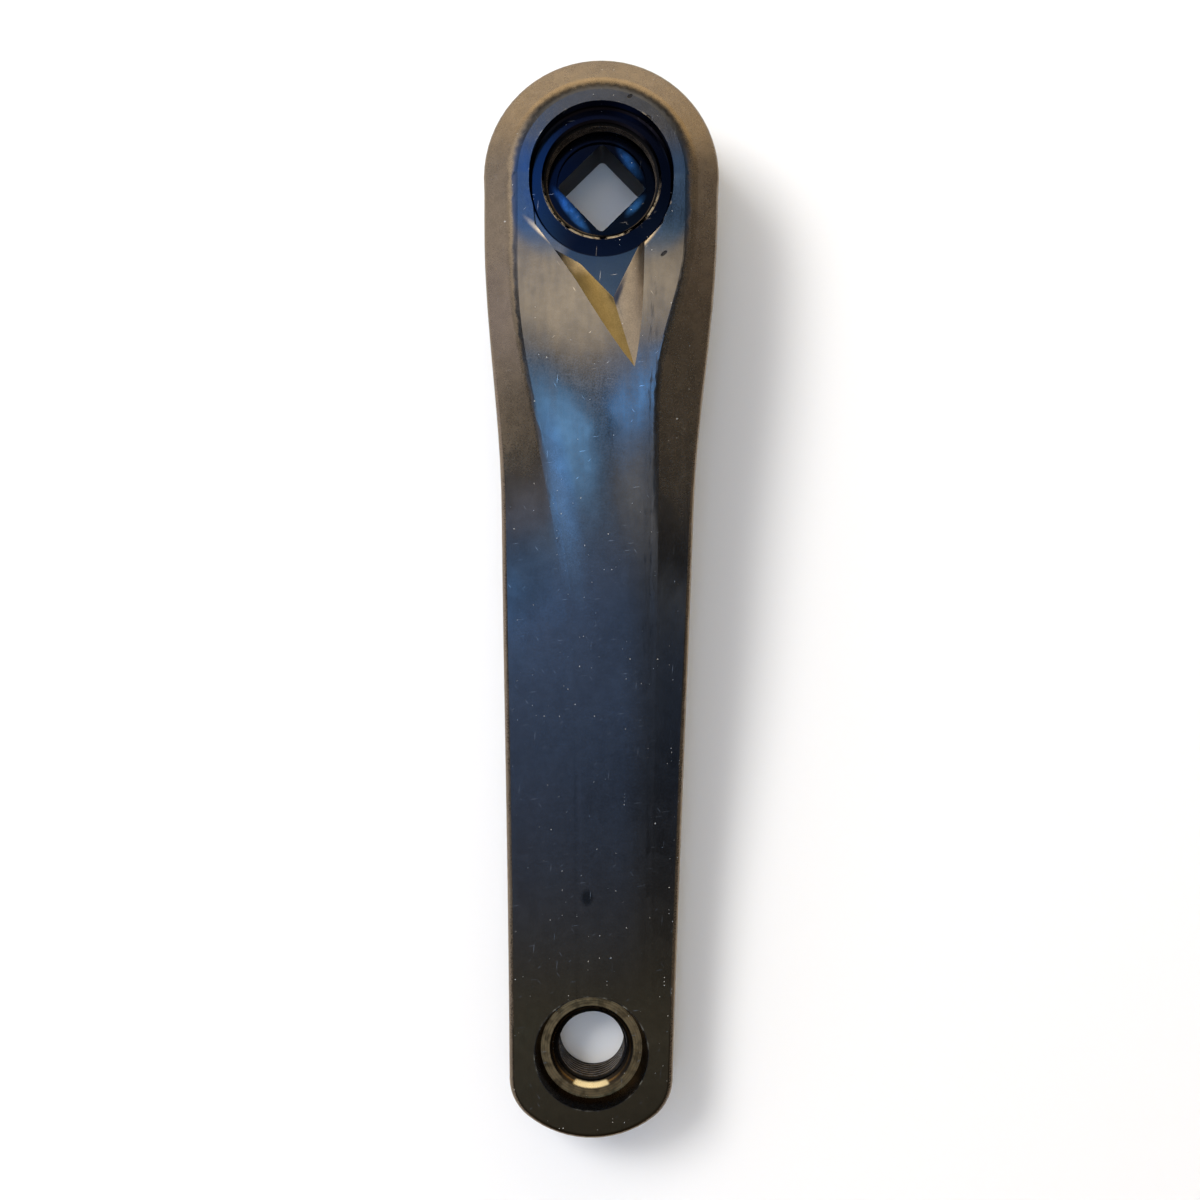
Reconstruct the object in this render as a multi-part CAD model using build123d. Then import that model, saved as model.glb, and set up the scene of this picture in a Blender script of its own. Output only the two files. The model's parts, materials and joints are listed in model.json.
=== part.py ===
"""Non-drive crank arm of a bicycle, one forged and machined aluminium piece, in millimetres.

The origin is on the spindle axis at the arm's back, +Z points out of the outer face, and -Y along the arm.
"""

import os
from math import ceil, radians, sin, tan

from build123d import *

# Outline
crank_length = 170.0  # spindle axis to pedal axis
eye_radius = 22.4
eye_straight = 12.0  # the eye's sides start to narrow this far below the spindle axis
neck_end = 62.0  # and have become the arm's plain taper here
arm_root_half_width = 19.7  # the plain taper, carried back to the spindle axis
arm_tip_half_width = 16.2  # the plain taper at the pedal axis
tip_overhang = 16.8  # pedal axis to tip
tip_bulge = 7.9  # the tip's arc stands this far beyond its corners
tip_corner_radius = 9.5

# Outer face
eye_height = 30.0  # flat face around the spindle eye
pedal_height = 15.8  # flat face around the pedal eye
face_fall_start = 12.0  # the face leaves the spindle eye's level here
pedal_flat_reach = 5.0  # and reaches the pedal eye's level this far before the pedal axis
crown_end = 100.0  # the bands have come level with the face here
face_crown = 0.5  # greatest rise of the face above its two creases
eye_crease_blend = 1.4  # length that the crease around the eye is rounded over, on either side
band_crease_blend = 0.7  # and the two creases along the arm

# Bevel around the eye, which flattens out into the arm as two bands
bevel_width = 5.3
bevel_drop = 4.0
left_band_width = 14.0
left_band_start = 20.0
right_crease_offset = 10.9  # from the arm's centre line
right_crease_start = 10.0
right_crease_end = 42.0

# Back and edges
pad_height = 1.5  # the two machined pads that the arm lies on
back_arch = 5.5  # greatest rise of the arm's back between the two eyes
eye_pad_radius = 17.0
pedal_pad_radius = 12.0
outer_edge_radius = 1.0
back_edge_chamfer = 1.6

# Spindle eye
recess_radius = 13.6
recess_stretch = 1.5  # the recess is this much longer than wide, down the arm
recess_depth = 5.0
recess_corner_chamfer = 0.4
extractor_thread_radius = 11.0  # major radius of M22
extractor_thread_depth = 6.5
extractor_thread_chamfer = 0.45
seat_radius = 8.8
seat_depth = 1.0
taper_width = 12.45  # across the flats at the seat
taper_angle = 2.0  # each flat's slope to the spindle axis, in degrees
taper_corner_radius = 1.0

# Notch below the spindle eye: a floor that opens into the recess, and a valley between two facets
notch_floor_step = 2.0  # floor above the recess's floor
notch_point_x = 2.5  # where the floor ends and the valley starts
notch_point_reach = 22.85
valley_slope = 9.0  # degrees
valley_lean = 17.4  # degrees from the arm's centre line, in plan
# Corners of the notch: direction around the spindle axis, and reach past the recess at the face and the floor
notch_left_corners = ((188.0, -0.2, -0.2), (218.0, 2.2, 1.9), (238.0, 3.2, 2.8), (257.0, 7.9, 3.4))
notch_right_corners = ((302.5, 2.0, 0.7), (321.5, 1.5, 0.4), (348.0, -0.2, -0.2))

# Pedal eye
spotface_radius = 11.2  # at the outer face
spotface_floor_radius = 10.1
spotface_depth = 4.0
pedal_thread_radius = 7.144  # major radius of 9/16 inch
pedal_thread_chamfer = 1.2
pedal_back_chamfer = 0.6

# Construction
station_pitch = 9.0  # distance between the neck's cross-sections
tool_margin = 5.0  # how far the cutting shapes run past the arm
notch_tool_rise = 0.7  # the notch's cutter above the eye's face
join_tolerance = 0.002  # for the joins between the eye, the neck and the tip
pad_overlap = 1.5  # how far the pads' cylinders reach into the arm

arm_length = crank_length + tip_overhang
face_fall_end = crank_length - pedal_flat_reach
plain_start = max(neck_end, crown_end, face_fall_end)
recess_floor = eye_height - recess_depth
extractor_thread_floor = recess_floor - extractor_thread_depth
seat_floor = extractor_thread_floor - seat_depth
notch_floor = recess_floor + notch_floor_step


def ease(reach, start, end):
    """Goes smoothly from 0 to 1 as reach goes from start to end."""
    share = min(max((reach - start) / (end - start), 0), 1)
    return share * share * (3 - 2 * share)


def half_width(reach):
    """Half the arm's width at a distance from the spindle axis."""
    taper = (arm_tip_half_width - arm_root_half_width) * reach / crank_length
    flare = (eye_radius - arm_root_half_width) * (1 - ease(reach, eye_straight, neck_end))
    return arm_root_half_width + taper + flare


def face_height(reach):
    return eye_height + (pedal_height - eye_height) * ease(reach, face_fall_start, face_fall_end)


def band_drop(reach):
    """Height of the face's crease above the arm's outer edge."""
    return bevel_drop * (1 - ease(reach, eye_straight, crown_end))


def left_band(reach):
    return bevel_width + (left_band_width - bevel_width) * ease(reach, left_band_start, crown_end)


def right_band(reach):
    turn = ease(reach, right_crease_start, right_crease_end)
    eye_crease = eye_radius - bevel_width
    crease = eye_crease + (right_crease_offset - eye_crease) * turn
    return half_width(reach) - crease


def swell(reach, start, end):
    """Goes smoothly from 0 at start to 1 midway, and back to 0 at end."""
    share = ease(reach, start, end)
    return 4 * share * (1 - share)


def back_height(reach):
    return pad_height + back_arch * swell(reach, face_fall_start, face_fall_end)


def crease_blend(reach):
    return eye_crease_blend + (band_crease_blend - eye_crease_blend) * ease(reach, 0, right_crease_end)


def rounded_corner(before, corner, after, radius):
    """The arc of a radius that touches both legs of a corner."""
    first = (before - corner).normalized()
    second = (after - corner).normalized()
    half_angle = radians(first.get_angle(second)) / 2
    leg = radius / tan(half_angle)
    middle = corner + (first + second).normalized() * (radius / sin(half_angle) - radius)
    return ThreePointArc(corner + first * leg, middle, corner + second * leg)


def side_edges(reach, side, band):
    """One side of a cross-section, going up: chamfered back edge, wall, outer edge, band and crease."""
    width = half_width(reach)
    height = face_height(reach)
    foot = Vector(side * width, -reach, back_height(reach))
    rim = Vector(side * width, -reach, height - band_drop(reach))
    crease = Vector(side * (width - band), -reach, height)
    back_edge = Line(foot - Vector(side * back_edge_chamfer, 0, 0), foot + Vector(0, 0, back_edge_chamfer))
    outer_edge = rounded_corner(foot, rim, crease, outer_edge_radius)
    blend = crease_blend(reach)
    crease_start = crease + (rim - crease).normalized() * blend
    crease_end = crease - Vector(side * blend, 0, 0)
    return [
        back_edge,
        Line(back_edge @ 1, outer_edge @ 0),
        outer_edge,
        Line(outer_edge @ 1, crease_start),
        Bezier(crease_start, crease, crease_end),
    ]


def cross_section(reach):
    """Closed cross-section of the forging at a distance from the spindle axis."""
    right = side_edges(reach, 1, right_band(reach))
    left = side_edges(reach, -1, left_band(reach))
    right_end = right[-1] @ 1
    left_end = left[-1] @ 1
    crown = face_crown * swell(reach, eye_straight, crown_end)
    middle = (right_end + left_end) / 2 + Vector(0, 0, 2 * crown)
    face = Bezier(right_end, middle, left_end)
    back = Line(left[0] @ 0, right[0] @ 0)
    return Wire(right + [face] + left + [back])


def build_eye():
    """Round end of the forging, its cross-section turned through half a turn."""
    side = side_edges(0, 1, right_band(0))
    axis_line = Polyline(side[-1] @ 1, (0, 0, eye_height), (0, 0, pad_height), side[0] @ 0)
    return revolve(Face(Wire(side + axis_line.edges())), Axis.Z, 180)


def build_neck():
    """The stretch of the forging between the two eyes, lofted through its cross-sections."""
    count = ceil(plain_start / station_pitch)
    return Solid.make_loft([cross_section(plain_start * i / count) for i in range(count + 1)])


def free_rim(face):
    """Edges of one of the tip's faces, without the edge that lies against the neck."""
    return face.edges().sort_by(Axis.Y)[:-1]


def build_tip():
    """The pedal end of the forging: flat face, straight sides, round tip and rounded edges."""
    corner_reach = arm_length - tip_bulge
    right_root = (half_width(plain_start), -plain_start)
    right_corner = (half_width(corner_reach), -corner_reach)
    left_root = (-half_width(plain_start), -plain_start)
    left_corner = (-half_width(corner_reach), -corner_reach)
    tip_arc = ThreePointArc(right_corner, (0, -arm_length), left_corner)
    plan = make_face([Line(right_root, right_corner), tip_arc, Polyline(left_corner, left_root, right_root)])
    prism = extrude(Pos(0, 0, pad_height) * plan, eye_height)
    prism = fillet(prism.edges().filter_by(Axis.Z).sort_by(Axis.Y)[:2], tip_corner_radius)
    tool_half_width = eye_radius + tool_margin
    tool_end = arm_length + tool_margin
    under_face = Polyline(
        (-tool_half_width, -plain_start, 0),
        (-tool_half_width, -plain_start, face_height(plain_start)),
        (-tool_half_width, -tool_end, face_height(tool_end)),
        (-tool_half_width, -tool_end, 0),
        close=True,
    )
    tip = prism & extrude(Face(Wire(under_face.edges())), 2 * tool_half_width, dir=(1, 0, 0))
    tip = fillet(free_rim(tip.faces().sort_by(Axis.Z)[-1]), outer_edge_radius)
    return chamfer(free_rim(tip.faces().sort_by(Axis.Z)[0]), back_edge_chamfer)


def build_blank():
    """The forging before machining, with the two pads on its back."""
    blank = build_eye().solid().fuse(build_neck(), build_tip().solid(), tol=join_tolerance).clean()
    for radius, centre in ((eye_pad_radius, 0), (pedal_pad_radius, -crank_length)):
        pad = Cylinder(radius, pad_height + pad_overlap, align=(Align.CENTER, Align.CENTER, Align.MIN))
        blank += Pos(0, centre, 0) * pad
    return blank


def turned_bore(*corners):
    """A bore about the Z axis from the corners of its half profile."""
    profile = Polyline(*[(radius, 0, height) for radius, height in corners], close=True)
    return revolve(Face(Wire(profile.edges())), Axis.Z)


def build_recess():
    """Recess around the extractor thread, with a chamfered corner at its floor."""
    plan = SlotCenterToCenter(recess_stretch, 2 * recess_radius, rotation=90)
    recess = extrude(Pos(0, -recess_stretch / 2, recess_floor) * plan, recess_depth + tool_margin)
    return chamfer(recess.faces().sort_by(Axis.Z)[0].edges(), recess_corner_chamfer)


def build_eye_bore():
    """Extractor thread bore with its chamfer, and the bolt seat."""
    mouth = extractor_thread_radius + extractor_thread_chamfer
    return turned_bore(
        (0, recess_floor),
        (0, seat_floor),
        (seat_radius, seat_floor),
        (seat_radius, extractor_thread_floor),
        (extractor_thread_radius, extractor_thread_floor),
        (extractor_thread_radius, recess_floor - extractor_thread_chamfer),
        (mouth, recess_floor),
    )


def build_taper_socket():
    """Square socket with a corner along the arm, wider towards the back."""
    ends = []
    for height in (-tool_margin, seat_floor):
        width = taper_width + 2 * (seat_floor - height) * tan(radians(taper_angle))
        ends.append(Pos(0, 0, height) * RectangleRounded(width, width, taper_corner_radius, rotation=45))
    return loft(ends, ruled=True)


def notch_corners(corners, height, at_floor):
    points = []
    for direction, face_reach, floor_reach in corners:
        reach = recess_radius + (floor_reach if at_floor else face_reach)
        points.append(Vector(reach, 0, height).rotate(Axis.Z, direction))
    return points


def notch_level(height, point, at_floor):
    """Closed outline of the notch at one height, from its point round through the spindle axis."""
    right = notch_corners(notch_right_corners, height, at_floor)
    left = notch_corners(notch_left_corners, height, at_floor)
    return Wire(Polyline(point, *right, Vector(0, 0, height), *left, close=True).edges())


def build_notch():
    """Cutter with the notch's floor at its bottom, facets as its sides and the valley between two of them."""
    top = eye_height + notch_tool_rise
    rise = top - notch_floor
    run = rise / tan(radians(valley_slope))
    low_point = Vector(notch_point_x, -notch_point_reach, notch_floor)
    high_point = low_point + Vector(0, -run, rise).rotate(Axis.Z, valley_lean)
    levels = [notch_level(notch_floor, low_point, True), notch_level(top, high_point, False)]
    return Solid.make_loft(levels, ruled=True)


def build_pedal_bore():
    """Spotface, thread bore and the chamfers at its two ends, about the pedal axis."""
    floor = pedal_height - spotface_depth
    flare = (spotface_radius - spotface_floor_radius) / spotface_depth
    bore = turned_bore(
        (0, -tool_margin),
        (pedal_thread_radius + pedal_back_chamfer + tool_margin, -tool_margin),
        (pedal_thread_radius, pedal_back_chamfer),
        (pedal_thread_radius, floor - pedal_thread_chamfer),
        (pedal_thread_radius + pedal_thread_chamfer, floor),
        (spotface_floor_radius, floor),
        (spotface_radius + flare * tool_margin, pedal_height + tool_margin),
        (0, pedal_height + tool_margin),
    )
    return Pos(0, -crank_length, 0) * bore


crank_arm = build_blank()
for cutter in (build_recess(), build_eye_bore(), build_taper_socket(), build_notch(), build_pedal_bore()):
    crank_arm -= cutter

os.makedirs("parts", exist_ok=True)
export_step(crank_arm, "parts/crank_arm.step")
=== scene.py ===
"""Looks of the crank arm: camera, studio, coating and the two threads, in the part's own frame."""

import json
from math import cos, pi, radians, sin

import bpy
from mathutils import Matrix, Vector


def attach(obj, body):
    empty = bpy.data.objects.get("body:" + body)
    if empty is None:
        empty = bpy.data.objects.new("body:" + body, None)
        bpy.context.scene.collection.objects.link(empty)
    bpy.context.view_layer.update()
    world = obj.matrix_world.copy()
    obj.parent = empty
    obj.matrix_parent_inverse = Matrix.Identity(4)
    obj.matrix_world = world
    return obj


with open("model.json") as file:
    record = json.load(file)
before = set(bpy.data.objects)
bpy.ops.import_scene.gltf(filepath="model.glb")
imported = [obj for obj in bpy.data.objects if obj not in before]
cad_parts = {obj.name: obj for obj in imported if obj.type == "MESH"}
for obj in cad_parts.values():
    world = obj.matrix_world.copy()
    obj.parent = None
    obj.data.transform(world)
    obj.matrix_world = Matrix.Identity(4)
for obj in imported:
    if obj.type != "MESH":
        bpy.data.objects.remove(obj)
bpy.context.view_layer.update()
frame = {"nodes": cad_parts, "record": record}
scene = bpy.context.scene
scene.view_settings.view_transform = "Standard"

MM = 0.001
MOUNTS = {mount["name"]: mount for mount in frame["record"]["mounts"]}

# Photograph
PHOTO_WIDTH = 1200
FOCAL_PIXELS = 1523
PRINCIPAL_POINT = (605, 545)
SENSOR_MM = 36.0
CAMERA_PLACE = (1.5, -69.8, 315.5)  # mm
CAMERA_ROLL = 0.68  # degrees

# Places on the part, in mm
PEDAL_Y = MOUNTS["pedal_thread"]["pos_m"][1] / MM
PEDAL_LEVEL = 15.8
PEDAL_RADIUS = MOUNTS["pedal_thread"]["dims"]["r_mm"]
SPOTFACE_RADIUS = 11.2
SPOTFACE_LEVEL = 11.8
SPOTFACE_REACH = 0.5  # how far its colour reaches up and down
CHAMFER_DEPTH = 0.6  # middle of the pedal thread's chamfer below the spotface, and its reach
FACE_LEVEL = 30.0
RECESS_RADIUS = 13.6
RECESS_STRETCH = 1.5
RECESS_LEVEL = 25.0
EXTRACTOR_RADIUS = MOUNTS["extractor_thread"]["dims"]["r_mm"]
SEAT_LEVEL = 18.5
NOTCH = ((2.0, -24.0), (11.0, 16.0))  # centre and half size
NOTCH_FLOOR_TOP = 27.3
RIGHT_CREASE_X = 10.3
BACK_TOP = 0.5  # the colours inside the two eyes end here, clear of the back

# Threads: bore radius, pitch, depth of the ridge, lowest and highest turn in mm, and hand
EXTRACTOR_THREAD = dict(radius=EXTRACTOR_RADIUS, pitch=1.0, depth=0.54, low=18.55, high=24.5, hand=1)
PEDAL_THREAD = dict(radius=PEDAL_RADIUS, pitch=1.27, depth=0.6, low=0.6, high=10.7, hand=-1)
STEPS_PER_TURN = 72
RUN_OUT = STEPS_PER_TURN // 3  # steps in which a ridge's end rises out of the wall
SUNK = 0.04  # mm that a ridge's foot lies in the wall
CREST = 0.12  # half width of a ridge's crest, as a share of the pitch
FOOT = 0.46  # half width of its foot, likewise

# Coating: colour of its reflections, with painted reflections, highlights and shade laid into it
BLACK = (0.064, 0.061, 0.06)
# Painted blue reflection on the ring around the recess
RING_BLUE = (0.024, 0.044, 0.082)
# Painted blue reflection on the lower left of the face
BLUE_BLACK = (0.058, 0.068, 0.086)
# Painted blue sheen by the left crease
CREASE_SHEEN_BLUE = (0.09, 0.117, 0.148)
# Painted shade on the lower right of the face and on the left band
DEEP_BLACK = (0.03, 0.031, 0.034)
BROWN_BLACK = (0.045, 0.031, 0.016)
# Painted bronze reflection of the room on tilted faces; BRONZE also gives the rubbed thread crests
BRONZE = (0.2, 0.155, 0.11)
PALE_BRONZE = (0.24, 0.185, 0.125)
# Painted reflections on the notch's facets: bronze on the right facet, gold on the left, pale gold at its
# upper end
NOTCH_BRONZE = (0.32, 0.255, 0.18)
NOTCH_GOLD = (0.36, 0.28, 0.13)
PALE_GOLD = (0.75, 0.62, 0.42)
# Painted blue reflection and shade inside the spindle eye: lighter on the left, darker to the right,
# darkest in the socket, with painted blue highlights on the bolt seat
NAVY = (0.004, 0.012, 0.03)
DEEP_NAVY = (0.0008, 0.002, 0.009)
SOCKET_SHADE_NAVY = (0.0008, 0.0018, 0.006)
SOCKET_BLUE = (0.02, 0.09, 0.26)
# Painted shade with a blue reflection on the notch's sunken floor
NOTCH_NAVY = (0.007, 0.019, 0.046)
SPOTFACE_BROWN = (0.17, 0.105, 0.045)
# Chipped rims as bare metal, and painted highlights as bare metal along the thread rim and two edges
BARE_METAL_AND_HIGHLIGHTS = (0.5, 0.4, 0.26)
# Painted highlight on the pedal thread's chamfer, as bare metal
CHAMFER_HIGHLIGHT = (0.62, 0.56, 0.4)
# Dirt of the stain, nicks and smears, and painted shade inside the pedal eye and on thread flanks
GRIME_AND_SHADE = (0.012, 0.012, 0.013)
SCRATCH = (0.42, 0.42, 0.42)
DUST = (0.52, 0.52, 0.5)

# How much each colour covers what lies under it
# BRONZE_COVER: share of the painted bronze reflection on slopes
BRONZE_COVER = 0.92
NOTCH_FLOOR_COVER = 0.9
RECESS_COVER = 0.95
PEDAL_SHADE_COVER = 0.9
SPOTFACE_COVER = 0.9
CHAMFER_LINE_COVER = 0.8
CHIP_COVER = 0.5
RIM_HIGHLIGHT_COVER = 0.8
BAND_SHADE_COVER = 0.6
SMEAR_COVER = 0.6
SOIL_COVER = 0.8

# Changes of the coating over the arm, in mm: where each begins and where it is whole
SOFT_EDGE = 0.1  # to either side of a limit that has no change of its own here
RING_EDGE = (20.0, 17.0)  # from the recess's axis
# BLUE_FACE: painted blue reflection on the lower left; DEEP_FACE: painted shade on the lower right
BLUE_FACE = ((13.0, 5.0), (-60.0, -85.0))  # in x and in y
DEEP_FACE = ((4.0, 15.0), (-60.0, -88.0))  # in x and in y
BROWN_TIP = (-105.0, -165.0)  # in y
# Painted shade in the recess, darker towards the right
DARK_RECESS = (-12.0, -5.0)  # in x
# Painted highlight on the lower side of the thread's rim, as bare metal
RIM_HIGHLIGHT_SIDE = (2.0, -6.0)  # in y
DUSTY_EDGE = ((13.0, 14.5), (-60.0, -110.0))  # in x and in y
DUSTY_FACE = (-40.0, -90.0)  # in y

# Bands of the coating, in mm: middle and reach
BAND_CORE = 0.4  # share of the reach where a band is whole
RING_BAND = (-4.0, 14.0)  # in y
SMEAR_LINE = (RIGHT_CREASE_X - 0.4, 1.4)  # in x
SMEAR_BAND = (-60.0, 50.0)  # in y
CHAMFER_LINE = (7.75, 0.22)  # from the pedal axis
RECESS_RIM = (RECESS_RADIUS, 0.25)  # from the recess's axis
PEDAL_RIM = (SPOTFACE_RADIUS, 0.25)  # from the pedal axis
THREAD_RIM = (EXTRACTOR_RADIUS + 0.25, 0.3)  # from the spindle axis
THREAD_RIM_HEIGHT = (RECESS_LEVEL - 0.3, 0.6)  # in z

# Lowest levels of wear and of the painted edge highlights, in mm
RECESS_RIM_FOOT = FACE_LEVEL - 0.4
PEDAL_RIM_FOOT = PEDAL_LEVEL - 0.3
EDGE_HIGHLIGHT_FOOT = FACE_LEVEL - 1.0

# Directions that the surface faces, as parts of its unit normal: where a change begins and is whole
LEVEL = (0.9, 0.97)  # in z
FACING_UP = (0.6, 0.9)  # in z
OFF_WALLS = (0.05, 0.35)  # in z
# Tilt of the normal where the painted bronze reflection on slopes begins and is whole
REFLECTING_TILT = (0.1, 0.34)  # to either side or towards +Y
BACKWARD_TILT_OFFSET = 0.25  # slopes towards -Y get the painted bronze reflection from this much more tilt on
# Normal's x where the right facet's painted bronze reflection turns into the left facet's painted gold
LEFT_FACET = (-0.1, 0.1)  # in x

# Noises: scale in 1/mm, detail and roughness
BLOTCHES = (0.09, 3.0, 0.6)
PATCHES = (0.5, 3.0, 0.6)
GRAIN = (4.0, 2.0, 0.6)
STREAKS = (1.0, 3.0, 0.6)
SMEAR_STRETCH = (1.8, 0.25, 0)
WIPE_STRETCH = (0.6, 0.08, 0)
NOISE_RANGE = (0.3, 0.7)

# Wear, dirt and painted highlights that follow a noise: the noise's two ends, and the share at each where
# it isn't 0 and 1
CHIPPED = (0.5, 0.7)
RIM_HIGHLIGHT_BREAKUP = (0.38, 0.58)
EDGE_HIGHLIGHT_BREAKUP = (0.2, 0.7, 0.3, 0.8)
CLEAN_BROWN = (0.66, 0.44, 0.45, 1.0)
SMEARED = (0.52, 0.66)
CLUSTERED = (0.45, 0.7)
SCRATCHED = (0.35, 0.65, 0.05, 0.5)

# Shares that follow a noise over its usual range
PATCH_MOTTLING = (0.93, 1.07)
GRAIN_MOTTLING = (0.88, 1.12)
GLINT_SHARE = (0.4, 1.0)
CREST_SHARE = (0.12, 0.45)

# Turning lines on the pedal eye's spotface: pitch in mm, and brightness between and on them
TURNING_PITCH = 0.5
TURNING_SHADES = (0.75, 1.1)

# Ellipses with a soft edge: shares of the half size where they begin to fade and where they end
SOFT_FADE = (0.6, 1.4)
SHARP_FADE = (0.9, 1.1)
EDGE_HIGHLIGHT_FADE = (0.3, 1.3)
GLINT_FADE = (0.2, 1.4)
NICK_FADE = (0.7, 1.1)
SHEEN_FADE = (0.0, 1.5)
BOX_FADE = (0.4, 1.6)

# Marks and painted light on the outer face: centre and half size in mm, and turn in degrees
STAIN = ((-1.2, -139.0), (1.1, 1.5), 0)
# Painted sheen by the left crease
CREASE_SHEEN = ((-6.5, -63.5), (2.6, 16.0), 10.6)
# Painted shade on the left band
PAINTED_BAND_SHADE = ((-15.0, -76.0), (5.5, 8.0), 0)
NICKS = (
    ((11.9, -15.0), (0.7, 0.3), 40),
    ((5.2, 14.4), (0.55, 0.3), 30),
    ((8.8, 10.4), (0.6, 0.4), -45),
)
# Painted highlights on two edges below the recess, as bare metal
EDGE_HIGHLIGHTS = (
    ((-9.7, -12.3), (5.5, 0.7), -40),
    ((8.9, -11.9), (3.8, 0.7), 50),
)
# Painted blue highlights on the bolt seat
SOCKET_GLINTS = (
    ((5.4, 5.0), (3.4, 1.0), -52),
    ((-5.9, -4.6), (4.6, 1.0), -51),
    ((6.6, -3.4), (2.4, 0.8), 48),
)
# Painted highlight: the left facet's reflection is palest at its upper end
FACET_END = ((-5.6, -15.2), (4.6, 3.4))  # upper end of the notch's left facet
CHAMFER_HIGHLIGHT_PATCH = ((0.0, -7.6), (3.6, 1.6))  # painted highlight on the pedal thread's chamfer, as bright bare metal, placed from the pedal axis

# Fine scratches: turn in degrees, length and width in mm, and how many of their cells have one
SCRATCHES = (
    (82, 2.6, 0.16, 0.004),
    (-35, 2.2, 0.15, 0.003),
    (48, 1.4, 0.14, 0.003),
    (4, 3.6, 0.16, 0.003),
)
SCRATCH_EDGE = (0.35, 0.1)  # where a scratch begins and is whole, as shares of its cell

# Dust: pitch of its cells and largest radius in mm, and how many of the cells have a speck
FINE_DUST = (0.75, 0.1)
FINE_SHARE = 0.008
CLUSTER_SHARE = 0.1  # added in clusters and along the right edge
CLUSTERS_ALONG = (0.3, 1.0)  # share of the clusters where DUSTY_FACE begins, and where it is whole
COARSE_DUST = (3.0, 0.16)
COARSE_SHARE = 0.035
RAGGED = 0.3  # mm that the grain moves a speck's edge
SPECK_FADE = (0.2, 1.0, 0.2, 0.9)  # two sizes as shares of the largest, and the cover at each

# Roughness, and what is added to it
GLOSS = (0.13, 0.18)
GRAIN_GLOSS = (-0.02, 0.05)
WIPED_GLOSS = (0.35, 0.65, -0.015, 0.02)  # the noise's two ends, and what is added at each
SOIL_ROUGHNESS = 0.15
SLOPE_ROUGHNESS = 0.12
NOTCH_ROUGHNESS = 0.3
RECESS_ROUGHNESS = 0.12
DUST_ROUGHNESS = 0.75
SOCKET_WALL_DULLNESS = 0.8
THREAD_GLOSS = (0.2, 0.32)
THREAD_GRAIN_GLOSS = (-0.03, 0.05)

# Relief, in mm
GRAIN_RELIEF = 0.0012
PATCH_RELIEF = 0.003
NICK_RELIEF = -0.15
THREAD_RELIEF = 0.003
CREST_RUB = (0.6, 0.9)  # shares of a ridge's depth where the rub begins and is whole

# Soft boxes on the ceiling: centre and half size as slopes from the vertical, and radiance
SOFT_BOXES = (
    ((-0.42, 0.26), (0.2, 0.1), (1.5, 1.7, 2.3)),
    ((0.0, 0.55), (0.3, 0.15), (1.9, 1.8, 1.6)),
    ((0.45, 0.28), (0.25, 0.12), (0.7, 0.6, 0.5)),
    ((0.1, -0.44), (0.09, 0.12), (0.06, 0.07, 0.09)),
    ((-0.12, -0.45), (0.08, 0.08), (0.5, 0.52, 0.65)),
    ((-0.05, -0.31), (0.19, 0.1), (0.7, 0.86, 1.16)),
    ((-0.36, -0.2), (0.14, 0.1), (1.0, 1.1, 1.4)),
    ((-0.23, -0.255), (0.06, 0.045), (1.1, 1.6, 2.3)),
    ((0.15, -0.2), (0.09, 0.075), (1.6, 1.65, 1.7)),
    ((-0.11, -0.14), (0.09, 0.085), (1.8, 4.2, 7.6)),
    ((0.11, -0.065), (0.06, 0.05), (1.7, 4.5, 9.5)),
    ((-0.02, 0.33), (0.13, 0.05), (1.5, 1.55, 1.6)),
    ((-0.12, 0.245), (0.08, 0.05), (0.8, 2.3, 5.4)),
    ((-0.04, 0.105), (0.2, 0.084), (5.8, 4.9, 3.6)),
)
BOXES_UP = (0.5, 0.6)  # part of the direction in z where the soft boxes begin and are whole

# Walls of the studio: axis, part of the direction along it where a wall begins and is whole, and radiance
DIM_WALL = (0.27, 0.24, 0.22)
WALLS = (
    ("X", (-0.1, -0.8), (0.78, 0.8, 0.9)),  # left
    ("Y", (0.3, 0.85), (2.25, 1.9, 1.35)),  # past the spindle eye
    ("Z", (0.3, 0.85), (0.17, 0.17, 0.17)),  # ceiling
    ("Z", (0.08, 0.02), (0.85, 0.85, 0.85)),  # foot of the walls
)

# Cards on the walls: azimuth, elevation and half width in degrees, and radiance
WALL_CARDS = (
    ((-62, 46, 16), (1.8, 1.75, 1.7)),
    ((-95, 14, 12), (1.15, 1.15, 1.35)),
    ((45, 20, 13), (1.4, 1.1, 0.65)),
)
BACKDROP = (1.0, 1.0, 1.0)

# Lamp: place and aim in mm, width and height in mm, colour and radiance
KEY_LAMP = ((-520, 350, 770), (0, -80, 0), (380, 380), (1.0, 0.99, 0.98), 15.9)

# Floor: half width in m, colour, and glow that the camera and reflections see
FLOOR_HALF = 3.0
FLOOR_COLOUR = (0.86, 0.86, 0.86)
FLOOR_GLOW = 0.05


def make_camera():
    data = bpy.data.cameras.new("photo_camera")
    data.sensor_width = SENSOR_MM
    data.lens = FOCAL_PIXELS / PHOTO_WIDTH * SENSOR_MM
    half = PHOTO_WIDTH / 2
    data.shift_x = (half - PRINCIPAL_POINT[0]) / PHOTO_WIDTH
    data.shift_y = (PRINCIPAL_POINT[1] - half) / PHOTO_WIDTH
    data.clip_start = 5 * MM
    camera = bpy.data.objects.new("photo_camera", data)
    camera.location = Vector(CAMERA_PLACE) * MM
    camera.rotation_euler = (0, 0, radians(CAMERA_ROLL))
    scene.collection.objects.link(camera)
    scene.camera = camera


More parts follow.
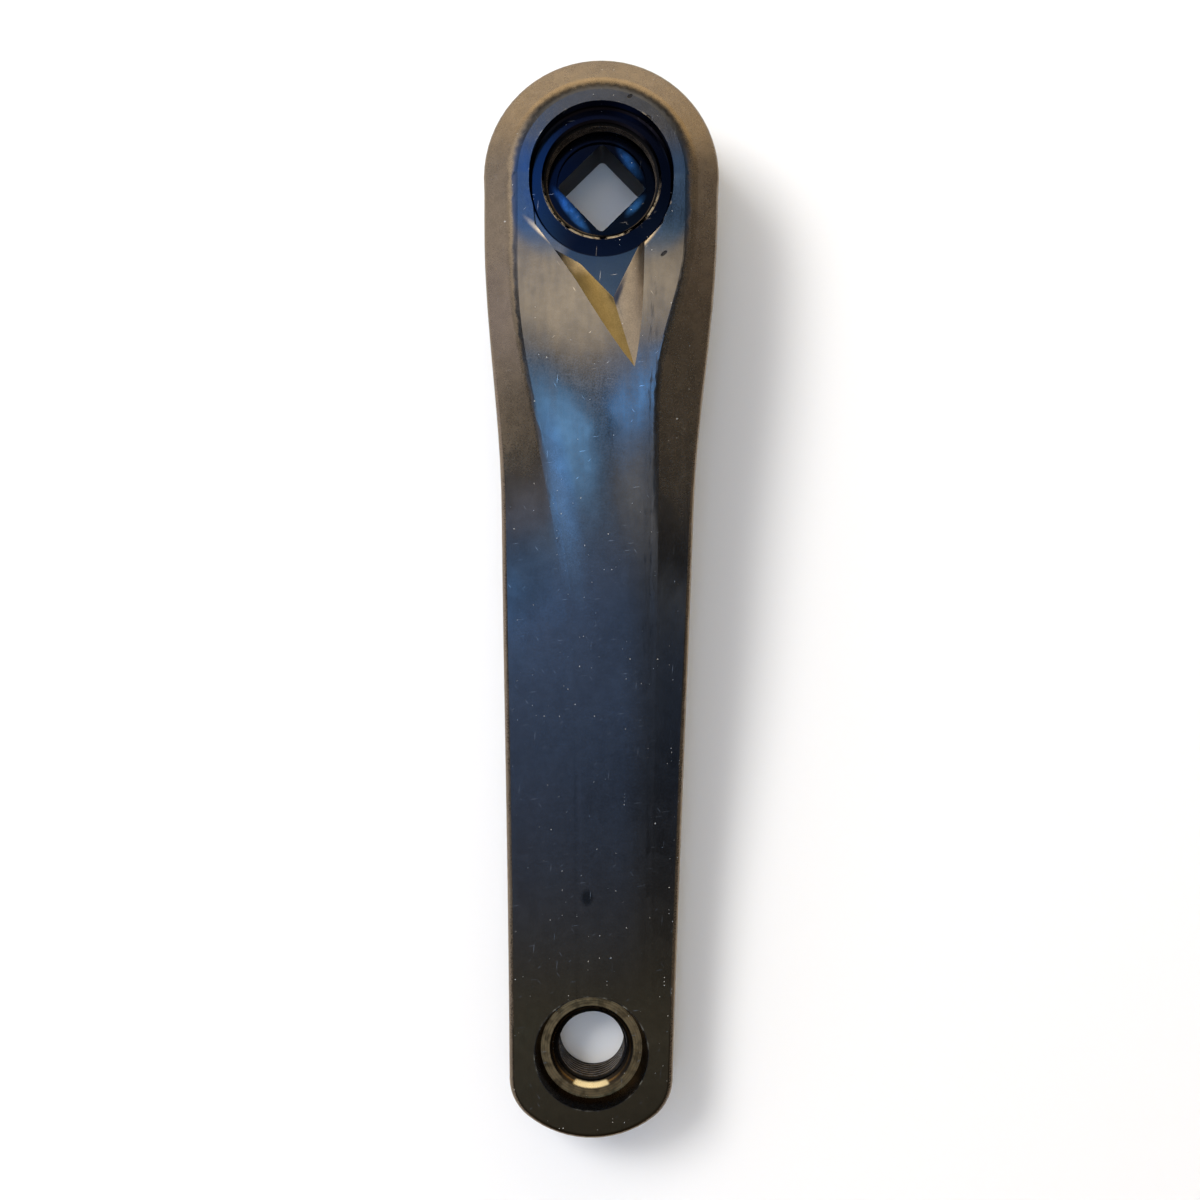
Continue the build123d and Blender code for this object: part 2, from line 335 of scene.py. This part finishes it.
def make_lamp(name, place, aim, size, colour, radiance):
    data = bpy.data.lights.new(name, "AREA")
    data.shape = "RECTANGLE"
    data.size = size[0] * MM
    data.size_y = size[1] * MM
    data.color = colour
    data.energy = radiance * pi * data.size * data.size_y
    lamp = bpy.data.objects.new(name, data)
    lamp.location = Vector(place) * MM
    lamp.rotation_euler = (Vector(aim) - Vector(place)).to_track_quat("-Z", "Y").to_euler()
    lamp.visible_camera = False
    scene.collection.objects.link(lamp)
    return lamp


class Nodes:
    """Short ways to add linked nodes to a node tree."""

    def __init__(self, tree):
        self.tree = tree
        tree.nodes.clear()

    def set(self, socket, value):
        if isinstance(value, bpy.types.NodeSocket):
            self.tree.links.new(value, socket)
        elif isinstance(value, tuple) and len(value) == 3 and socket.type == "RGBA":
            socket.default_value = (*value, 1)
        else:
            socket.default_value = value

    def add(self, kind, settings=None, inputs=None):
        made = self.tree.nodes.new(kind)
        for name, value in (settings or {}).items():
            setattr(made, name, value)
        for name, value in (inputs or {}).items():
            self.set(made.inputs[name], value)
        return made

    def math(self, operation, *values):
        return self.add("ShaderNodeMath", {"operation": operation}, dict(enumerate(values))).outputs[0]

    def combine(self, operation, values):
        result = values[0]
        for value in values[1:]:
            result = self.math(operation, result, value)
        return result

    def times(self, *values):
        return self.combine("MULTIPLY", values)

    def most(self, *values):
        return self.combine("MAXIMUM", values)

    def total(self, *values):
        return self.combine("ADD", values)

    def without(self, value):
        """0 where value is 1, and 1 where it is 0."""
        return self.math("SUBTRACT", 1.0, value)

    def ramp(self, value, start, end, low=0.0, high=1.0):
        """Goes smoothly from low to high as value goes from start to end."""
        sizes = {"Value": value, "From Min": start, "From Max": end, "To Min": low, "To Max": high}
        return self.add("ShaderNodeMapRange", {"interpolation_type": "SMOOTHSTEP"}, sizes).outputs[0]

    def spread(self, noise, low=0.0, high=1.0):
        """Goes smoothly from low to high over a noise's usual range."""
        return self.ramp(noise, *NOISE_RANGE, low, high)

    def above(self, value, limit):
        return self.ramp(value, limit - SOFT_EDGE, limit + SOFT_EDGE)

    def below(self, value, limit):
        return self.ramp(value, limit + SOFT_EDGE, limit - SOFT_EDGE)

    def near(self, value, middle, reach):
        """1 where value is at middle, going to 0 at reach on either side."""
        distance = self.math("ABSOLUTE", self.math("SUBTRACT", value, middle))
        return self.ramp(distance, reach, reach * BAND_CORE)

    def mix(self, factor, first, second):
        """Mix of two colours."""
        return self.add("ShaderNodeMix", {"data_type": "RGBA"}, {0: factor, 6: first, 7: second}).outputs[2]

    def mix_number(self, factor, first, second):
        return self.add("ShaderNodeMix", None, {0: factor, 2: first, 3: second}).outputs[0]

    def noise(self, vector, scale, detail, roughness):
        sizes = {"Vector": vector, "Scale": scale, "Detail": detail, "Roughness": roughness}
        return self.add("ShaderNodeTexNoise", None, sizes).outputs["Fac"]

    def turned(self, vector, turn):
        """The vector turned about Z in degrees."""
        sizes = {"Vector": vector, "Angle": radians(turn)}
        return self.add("ShaderNodeVectorRotate", {"rotation_type": "Z_AXIS"}, sizes).outputs[0]

    def vector(self, operation, *values):
        made = self.add("ShaderNodeVectorMath", {"operation": operation}, dict(enumerate(values)))
        return made.outputs["Value" if operation in ("LENGTH", "DOT_PRODUCT") else "Vector"]

    def scaled(self, vector, factor):
        sizes = {0: vector, "Scale": factor}
        return self.add("ShaderNodeVectorMath", {"operation": "SCALE"}, sizes).outputs[0]

    def split(self, vector):
        return self.add("ShaderNodeSeparateXYZ", None, {"Vector": vector}).outputs

    def patch(self, vector, centre, size, turn=0, fade=SOFT_FADE):
        """1 inside an ellipse in plan, going softly to 0 outside it."""
        if turn:
            vector = self.turned(vector, -turn)
            centre = Vector(centre) @ Matrix.Rotation(radians(turn), 2)
        scale = (1 / size[0], 1 / size[1], 0)
        shift = (-centre[0] / size[0], -centre[1] / size[1], 0)
        distance = self.vector("LENGTH", self.vector("MULTIPLY_ADD", vector, scale, shift))
        return self.ramp(distance, fade[1], fade[0])

    def any_patch(self, vector, marks, fade):
        """1 inside any of several ellipses."""
        return self.most(*[self.patch(vector, *mark, fade) for mark in marks])

    def cells(self, vector, scale):
        """Distance to the nearest of many points strewn in plan, and two random numbers for that point."""
        settings = {"voronoi_dimensions": "2D"}
        made = self.add("ShaderNodeTexVoronoi", settings, {"Vector": vector, "Scale": scale})
        pick = self.add("ShaderNodeSeparateColor", None, {"Color": made.outputs["Color"]}).outputs
        return made.outputs["Distance"], pick[0], pick[1]


def specks(nodes, place, pitch, radius, share):
    """Round specks up to a radius in mm, small ones fainter, in a share of the cells of a pitch in mm."""
    distance, chance, size = nodes.cells(place, 1 / pitch)
    inside = nodes.math("LESS_THAN", distance, nodes.times(size, radius / pitch))
    return nodes.times(inside, nodes.math("LESS_THAN", chance, share), nodes.ramp(size, *SPECK_FADE))


def scratches(nodes, place, turn, length, width, share):
    """Short straight scratches in one direction, in a share of the cells of a length and width in mm."""
    along = nodes.vector("MULTIPLY", nodes.turned(place, turn), (1 / width, 1 / length, 0))
    distance, chance, _ = nodes.cells(along, 1.0)
    return nodes.times(nodes.ramp(distance, *SCRATCH_EDGE), nodes.math("LESS_THAN", chance, share))


class Finish:
    """A new material with its nodes, the place on the part in mm, and two noises."""

    def __init__(self, name):
        self.material = bpy.data.materials.new(name)
        self.material.use_nodes = True
        self.nodes = Nodes(self.material.node_tree)
        coords = self.nodes.add("ShaderNodeTexCoord").outputs["Object"]
        self.place = self.nodes.scaled(coords, 1 / MM)
        self.flat = self.nodes.vector("MULTIPLY", self.place, (1, 1, 0))
        self.patches = self.nodes.noise(self.place, *PATCHES)
        self.grain = self.nodes.noise(self.place, *GRAIN)

    def close(self, colour, metallic, roughness, height):
        """Links the shader; height is the relief in mm."""
        bump_sizes = {"Strength": 1.0, "Distance": MM, "Height": height}
        sizes = {
            "Base Color": colour,
            "Metallic": metallic,
            "Roughness": roughness,
            "Normal": self.nodes.add("ShaderNodeBump", None, bump_sizes).outputs[0],
        }
        shader = self.nodes.add("ShaderNodeBsdfPrincipled", None, sizes)
        self.nodes.add("ShaderNodeOutputMaterial", None, {"Surface": shader.outputs[0]})
        return self.material


class ArmCoating(Finish):
    """Glossy black coating, with a painted bronze reflection on slopes, painted reflections, highlights and
    shade elsewhere, and chips, dust, scratches and marks.
    """

    def __init__(self):
        super().__init__("arm_coating")
        nodes = self.nodes
        self.blotches = nodes.noise(self.place, *BLOTCHES)
        self.x, self.y, self.z = nodes.split(self.place)
        self.across, self.along, self.up = nodes.split(nodes.add("ShaderNodeNewGeometry").outputs["Normal"])
        self.level = nodes.ramp(self.up, *LEVEL)
        self.facing_up = nodes.ramp(self.up, *FACING_UP)
        self.below_face = nodes.below(self.z, FACE_LEVEL - SOFT_EDGE)
        self.off_back = nodes.above(self.z, BACK_TOP)
        self.find_spindle_eye()
        self.find_notch()
        self.find_pedal_eye()
        self.find_wear()
        self.find_marks()
        self.find_dust()
        self.find_scratches()

    def past(self, x_change, y_change):
        """1 past a change in x and a change in y."""
        return self.nodes.times(self.nodes.ramp(self.x, *x_change), self.nodes.ramp(self.y, *y_change))

    def find_spindle_eye(self):
        """The recess, the socket below its bolt seat, and the ring around the recess."""
        nodes = self.nodes
        middle_y = nodes.math("MINIMUM", nodes.most(self.y, -RECESS_STRETCH), 0.0)
        middle = nodes.add("ShaderNodeCombineXYZ", None, {"Y": middle_y}).outputs[0]
        self.recess_distance = nodes.vector("LENGTH", nodes.vector("SUBTRACT", self.flat, middle))
        inside = nodes.below(self.recess_distance, RECESS_RADIUS + SOFT_EDGE)
        self.in_recess = nodes.times(inside, self.below_face, self.off_back)
        self.in_socket = nodes.times(self.in_recess, nodes.below(self.z, SEAT_LEVEL + 2 * SOFT_EDGE))
        self.on_socket_wall = nodes.times(self.in_socket, nodes.without(self.level))
        around = nodes.ramp(self.recess_distance, *RING_EDGE)
        self.on_ring = nodes.times(around, nodes.near(self.y, *RING_BAND), self.level)

    def find_notch(self):
        """The notch's facets and its floor."""
        nodes = self.nodes
        self.near_notch = nodes.times(nodes.patch(self.flat, *NOTCH, fade=SHARP_FADE), self.below_face)
        low = nodes.below(self.z, NOTCH_FLOOR_TOP)
        self.on_notch_floor = nodes.times(self.near_notch, self.level, low)

    def find_pedal_eye(self):
        """The pedal eye's spotface and the chamfer inside it."""
        nodes = self.nodes
        offset = nodes.vector("SUBTRACT", self.flat, (0, PEDAL_Y, 0))
        self.pedal_distance = nodes.vector("LENGTH", offset)
        inside = nodes.below(self.pedal_distance, SPOTFACE_RADIUS + SOFT_EDGE)
        self.in_pedal = nodes.times(inside, self.off_back)
        spotface = nodes.near(self.z, SPOTFACE_LEVEL, SPOTFACE_REACH)
        self.on_spotface = nodes.times(self.in_pedal, spotface, self.level)
        chamfer = nodes.near(self.z, SPOTFACE_LEVEL - CHAMFER_DEPTH, CHAMFER_DEPTH)
        self.on_chamfer = nodes.times(self.in_pedal, chamfer)
        # painted highlight on the lower side of the chamfer
        chamfer_glint_place = nodes.patch(offset, *CHAMFER_HIGHLIGHT_PATCH, fade=SHARP_FADE)
        self.chamfer_highlight = nodes.times(self.on_chamfer, chamfer_glint_place)

    def find_wear(self):
        """Slopes given a painted bronze reflection, chipped rims, and painted highlights as bare metal
        along the thread rim and two edges.
        """
        nodes = self.nodes
        sideways = nodes.math("ABSOLUTE", self.across)
        backwards = nodes.math("MULTIPLY_ADD", self.along, -1.0, -BACKWARD_TILT_OFFSET)
        tilt = nodes.most(sideways, self.along, backwards)
        # Where the face tilts, for the painted bronze reflection
        self.sloped = nodes.times(nodes.ramp(tilt, *REFLECTING_TILT), nodes.ramp(self.up, *OFF_WALLS))
        recess_rim = nodes.near(self.recess_distance, *RECESS_RIM)
        pedal_rim = nodes.near(self.pedal_distance, *PEDAL_RIM)
        rims = nodes.most(
            nodes.times(recess_rim, nodes.above(self.z, RECESS_RIM_FOOT)),
            nodes.times(pedal_rim, nodes.above(self.z, PEDAL_RIM_FOOT)),
        )
        chips = nodes.times(rims, nodes.ramp(self.patches, *CHIPPED), CHIP_COVER)
        thread_rim = nodes.near(nodes.vector("LENGTH", self.flat), *THREAD_RIM)
        thread_rim = nodes.times(
            thread_rim, nodes.near(self.z, *THREAD_RIM_HEIGHT), nodes.ramp(self.y, *RIM_HIGHLIGHT_SIDE)
        )
        # painted highlight on the lower side of the thread's rim
        self.rim_highlight = nodes.times(thread_rim, nodes.ramp(self.patches, *RIM_HIGHLIGHT_BREAKUP), RIM_HIGHLIGHT_COVER)
        # painted highlights on two edges below the recess
        edges = nodes.times(
            nodes.any_patch(self.flat, EDGE_HIGHLIGHTS, EDGE_HIGHLIGHT_FADE),
            nodes.ramp(self.patches, *EDGE_HIGHLIGHT_BREAKUP),
            nodes.above(self.z, EDGE_HIGHLIGHT_FOOT),
        )
        self.rubbed_and_highlights = nodes.most(chips, self.rim_highlight, edges)

    def find_marks(self):
        """The stain, the nicks, and smears along the right crease."""
        nodes = self.nodes
        stain = nodes.patch(self.flat, *STAIN)
        self.nick = nodes.times(nodes.any_patch(self.flat, NICKS, NICK_FADE), self.facing_up)
        streaks = nodes.noise(nodes.vector("MULTIPLY", self.flat, SMEAR_STRETCH), *STREAKS)
        smears = nodes.times(
            nodes.ramp(streaks, *SMEARED),
            nodes.near(self.x, *SMEAR_LINE),
            nodes.near(self.y, *SMEAR_BAND),
            SMEAR_COVER,
        )
        self.soiled = nodes.times(nodes.most(stain, self.nick, smears), self.facing_up, SOIL_COVER)

    def find_dust(self):
        """Specks of dust, denser in clusters and along the right edge."""
        nodes = self.nodes
        shift = nodes.scaled((1.0, 1.0, 1.0), nodes.times(self.grain, RAGGED))
        ragged = nodes.vector("ADD", self.place, shift)
        clusters = nodes.times(
            nodes.ramp(self.patches, *CLUSTERED), nodes.ramp(self.y, *DUSTY_FACE, *CLUSTERS_ALONG)
        )
        edge = self.past(*DUSTY_EDGE)
        share = nodes.total(
            nodes.times(clusters, CLUSTER_SHARE), nodes.times(edge, CLUSTER_SHARE), FINE_SHARE
        )
        fine = specks(nodes, ragged, *FINE_DUST, share)
        coarse = specks(nodes, ragged, *COARSE_DUST, COARSE_SHARE)
        self.dust = nodes.times(nodes.most(fine, coarse), self.facing_up)

    def find_scratches(self):
        nodes = self.nodes
        lines = nodes.most(*[scratches(nodes, self.flat, *sizes) for sizes in SCRATCHES])
        self.scratched = nodes.times(lines, self.facing_up, nodes.ramp(self.patches, *SCRATCHED))

    def black(self):
        """Black of the outer face, which changes along and across the arm: painted blue reflections,
        painted shade, a painted sheen, and browner towards the tip.
        """
        nodes = self.nodes
        # painted blue reflection on the ring around the recess
        colour = nodes.mix(self.on_ring, BLACK, RING_BLUE)
        # painted blue reflection on the lower left, and painted shade on the lower right
        colour = nodes.mix(nodes.times(self.past(*BLUE_FACE), self.facing_up), colour, BLUE_BLACK)
        colour = nodes.mix(nodes.times(self.past(*DEEP_FACE), self.facing_up), colour, DEEP_BLACK)
        colour = nodes.mix(nodes.ramp(self.y, *BROWN_TIP), colour, BROWN_BLACK)
        # painted shade on the left band
        band_shade = nodes.times(nodes.patch(self.flat, *PAINTED_BAND_SHADE), self.facing_up, BAND_SHADE_COVER)
        colour = nodes.mix(band_shade, colour, DEEP_BLACK)
        # painted blue sheen by the left crease
        sheen = nodes.times(nodes.patch(self.flat, *CREASE_SHEEN, SHEEN_FADE), self.facing_up)
        return nodes.mix(sheen, colour, CREASE_SHEEN_BLUE)

    def bronze(self):
        """Painted bronze reflection on the slopes, and painted reflections on the notch's two facets."""
        nodes = self.nodes
        slopes = nodes.mix(nodes.spread(self.blotches), BRONZE, PALE_BRONZE)
        # Painted reflections: gold on the left facet, palest at its upper end, bronze on the right facet
        left_facet = nodes.mix(nodes.patch(self.flat, *FACET_END), NOTCH_GOLD, PALE_GOLD)
        facets = nodes.mix(nodes.ramp(self.across, *LEFT_FACET), NOTCH_BRONZE, left_facet)
        return nodes.mix(self.near_notch, slopes, facets)

    def navy(self):
        """Painted blue reflection and shade inside the spindle eye, darker to the right and darkest in the
        socket, with painted blue glints on the bolt seat.
        """
        nodes = self.nodes
        recess = nodes.mix(nodes.ramp(self.x, *DARK_RECESS), NAVY, DEEP_NAVY)
        glints = nodes.any_patch(self.flat, SOCKET_GLINTS, GLINT_FADE)
        glints = nodes.times(glints, self.level, nodes.spread(self.patches, *GLINT_SHARE))
        return nodes.mix(self.in_socket, recess, nodes.mix(glints, SOCKET_SHADE_NAVY, SOCKET_BLUE))

    def brown(self):
        """Brown of the pedal eye's spotface, patchy and with turning lines."""
        nodes = self.nodes
        turning = nodes.math("SINE", nodes.times(self.pedal_distance, 2 * pi / TURNING_PITCH))
        lines = nodes.ramp(turning, -1.0, 1.0, *TURNING_SHADES)
        return nodes.scaled(SPOTFACE_BROWN, nodes.times(nodes.ramp(self.patches, *CLEAN_BROWN), lines))

    def colour(self):
        """The coating's colour, with what covers it laid on in order."""
        nodes = self.nodes
        # Painted bronze reflection laid over the black on slopes
        colour = nodes.mix(nodes.times(self.sloped, BRONZE_COVER), self.black(), self.bronze())
        patch_mottling = nodes.spread(self.patches, *PATCH_MOTTLING)
        grain_mottling = nodes.spread(self.grain, *GRAIN_MOTTLING)
        colour = nodes.scaled(colour, nodes.times(patch_mottling, grain_mottling))
        chamfer_line = nodes.times(self.on_chamfer, nodes.near(self.pedal_distance, *CHAMFER_LINE))
        on_brown = nodes.most(
            nodes.times(self.on_spotface, SPOTFACE_COVER), nodes.times(chamfer_line, CHAMFER_LINE_COVER)
        )
        for place, cover in (
            # painted shade on the notch's floor
            (nodes.times(self.on_notch_floor, NOTCH_FLOOR_COVER), NOTCH_NAVY),
            # painted blue reflection and shade inside the spindle eye
            (nodes.times(self.in_recess, RECESS_COVER), self.navy()),
            # painted shade inside the pedal eye
            (nodes.times(self.in_pedal, PEDAL_SHADE_COVER), GRIME_AND_SHADE),
            (on_brown, self.brown()),
            # chipped rims, and painted highlights as bare metal
            (self.rubbed_and_highlights, BARE_METAL_AND_HIGHLIGHTS),
            # painted highlight on the pedal thread's chamfer
            (self.chamfer_highlight, CHAMFER_HIGHLIGHT),
            (self.soiled, GRIME_AND_SHADE),
            (self.scratched, SCRATCH),
            (self.dust, DUST),
        ):
            colour = nodes.mix(place, colour, cover)
        return colour

    def roughness(self):
        nodes = self.nodes
        wiped = nodes.noise(nodes.vector("MULTIPLY", self.flat, WIPE_STRETCH), *STREAKS)
        rough = nodes.total(
            nodes.spread(self.blotches, *GLOSS),
            nodes.spread(self.grain, *GRAIN_GLOSS),
            nodes.ramp(wiped, *WIPED_GLOSS),
            nodes.times(self.soiled, SOIL_ROUGHNESS),
            nodes.times(self.sloped, nodes.mix_number(self.near_notch, SLOPE_ROUGHNESS, NOTCH_ROUGHNESS)),
        )
        rough = nodes.mix_number(self.in_recess, rough, RECESS_ROUGHNESS)
        dull = nodes.most(self.dust, nodes.times(self.on_socket_wall, SOCKET_WALL_DULLNESS))
        return nodes.mix_number(dull, rough, DUST_ROUGHNESS)

    def relief(self):
        nodes = self.nodes
        return nodes.total(
            nodes.times(self.grain, GRAIN_RELIEF),
            nodes.times(self.patches, PATCH_RELIEF),
            nodes.times(self.nick, NICK_RELIEF),
        )

    def finished(self):
        metallic = self.nodes.without(self.nodes.most(self.dust, self.rim_highlight))
        return self.close(self.colour(), metallic, self.roughness(), self.relief())


def thread_coating(name, centre_y, radius, depth):
    """Dark flanks of a thread as painted shade in the bore, and rubbed crests that also stand in for their
    highlights.
    """
    finish = Finish(name)
    nodes = finish.nodes
    distance = nodes.vector("LENGTH", nodes.vector("SUBTRACT", finish.flat, (0, centre_y, 0)))
    crest = nodes.ramp(distance, *[radius - depth * share for share in CREST_RUB])
    rubbed_and_highlights = nodes.times(crest, nodes.spread(finish.patches, *CREST_SHARE))
    rough = nodes.total(
        nodes.spread(finish.patches, *THREAD_GLOSS), nodes.spread(finish.grain, *THREAD_GRAIN_GLOSS)
    )
    colour = nodes.mix(rubbed_and_highlights, GRIME_AND_SHADE, BRONZE)
    return finish.close(colour, 1.0, rough, nodes.times(finish.grain, THREAD_RELIEF))


def make_thread(name, centre_y, radius, pitch, depth, low, high, hand):
    """Helical ridge on the inside of a bore, its two ends running out into the wall."""
    crest = pitch * CREST
    foot = pitch * FOOT
    steps = int((high - low - 2 * foot) / pitch * STEPS_PER_TURN)
    points = []
    for step in range(steps + 1):
        angle = hand * 2 * pi * step / STEPS_PER_TURN
        height = low + foot + pitch * step / STEPS_PER_TURN
        share = min(1.0, (step + 1) / RUN_OUT, (steps + 1 - step) / RUN_OUT)
        wall = radius + SUNK
        top = wall - (depth + SUNK) * share
        for reach, rise in ((wall, -foot), (top, -crest), (top, crest), (wall, foot)):
            x = reach * cos(angle)
            y = centre_y + reach * sin(angle)
            points.append((x * MM, y * MM, (height + rise) * MM))
    faces = [(3, 2, 1, 0), tuple(range(steps * 4, steps * 4 + 4))]
    for step in range(steps):
        for side in range(4):
            a = step * 4 + side
            b = step * 4 + (side + 1) % 4
            faces.append((a, b, b + 4, a + 4))
    if hand < 0:
        faces = [face[::-1] for face in faces]
    mesh = bpy.data.meshes.new(name)
    mesh.from_pydata(points, [], faces)
    thread = bpy.data.objects.new(name, mesh)
    scene.collection.objects.link(thread)
    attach(thread, "root")
    return thread


def make_floor():
    mesh = bpy.data.meshes.new("floor")
    corners = [(x * FLOOR_HALF, y * FLOOR_HALF, 0) for x, y in ((-1, -1), (1, -1), (1, 1), (-1, 1))]
    mesh.from_pydata(corners, [], [(0, 1, 2, 3)])
    floor = bpy.data.objects.new("floor", mesh)
    scene.collection.objects.link(floor)
    material = bpy.data.materials.new("pale_floor")
    material.use_nodes = True
    nodes = Nodes(material.node_tree)
    paper = nodes.add("ShaderNodeBsdfDiffuse", None, {"Color": FLOOR_COLOUR})
    path = nodes.add("ShaderNodeLightPath").outputs
    seen = nodes.most(path["Is Camera Ray"], path["Is Glossy Ray"], path["Is Transmission Ray"])
    glow = nodes.add("ShaderNodeEmission", None, {"Strength": nodes.times(seen, FLOOR_GLOW)})
    both = nodes.add("ShaderNodeAddShader", None, {0: paper.outputs[0], 1: glow.outputs[0]})
    nodes.add("ShaderNodeOutputMaterial", None, {"Surface": both.outputs[0]})
    mesh.materials.append(material)


def make_world():
    """Studio room: walls that differ, cards on them, and a ceiling with soft boxes."""
    world = bpy.data.worlds.new("studio")
    scene.world = world
    # Reflections find the soft boxes by themselves, so the world isn't sampled as a lamp
    world.cycles.sampling_method = "NONE"
    world.use_nodes = True
    nodes = Nodes(world.node_tree)
    direction = nodes.add("ShaderNodeTexCoord").outputs["Generated"]
    parts = nodes.split(direction)
    colour = DIM_WALL
    for axis, change, radiance in WALLS:
        colour = nodes.mix(nodes.ramp(parts[axis], *change), colour, radiance)
    for (azimuth, elevation, half_width), radiance in WALL_CARDS:
        level_share = cos(radians(elevation))
        middle_x = level_share * sin(radians(azimuth))
        middle_y = level_share * cos(radians(azimuth))
        near = nodes.vector("DOT_PRODUCT", direction, (middle_x, middle_y, sin(radians(elevation))))
        inner, outer = [cos(radians(half_width * share)) for share in SOFT_FADE]
        colour = nodes.mix(nodes.ramp(near, outer, inner), colour, radiance)
    slope = nodes.vector("DIVIDE", direction, parts["Z"])
    lit_ceiling = colour
    for centre, size, radiance in SOFT_BOXES:
        lit_ceiling = nodes.mix(nodes.patch(slope, centre, size, fade=BOX_FADE), lit_ceiling, radiance)
    colour = nodes.mix(nodes.ramp(parts["Z"], *BOXES_UP), colour, lit_ceiling)
    is_camera_ray = nodes.add("ShaderNodeLightPath").outputs["Is Camera Ray"]
    colour = nodes.mix(is_camera_ray, colour, BACKDROP)
    light = nodes.add("ShaderNodeBackground", None, {"Color": colour, "Strength": 1.0})
    nodes.add("ShaderNodeOutputWorld", None, {"Surface": light.outputs[0]})


make_camera()
make_world()
make_floor()
make_lamp("key_lamp", *KEY_LAMP).visible_glossy = False

arm = frame["nodes"]["crank_arm"]
even_shading = arm.modifiers.new("even_shading", "WEIGHTED_NORMAL")
even_shading.weight = 50
even_shading.keep_sharp = True
arm.data.materials.clear()
arm.data.materials.append(ArmCoating().finished())
for thread_name, bore_y, sizes in (
    ("extractor_thread", 0.0, EXTRACTOR_THREAD),
    ("pedal_thread", PEDAL_Y, PEDAL_THREAD),
):
    thread = make_thread(thread_name, bore_y, **sizes)
    thread.data.materials.append(thread_coating(thread_name, bore_y, sizes["radius"], sizes["depth"]))
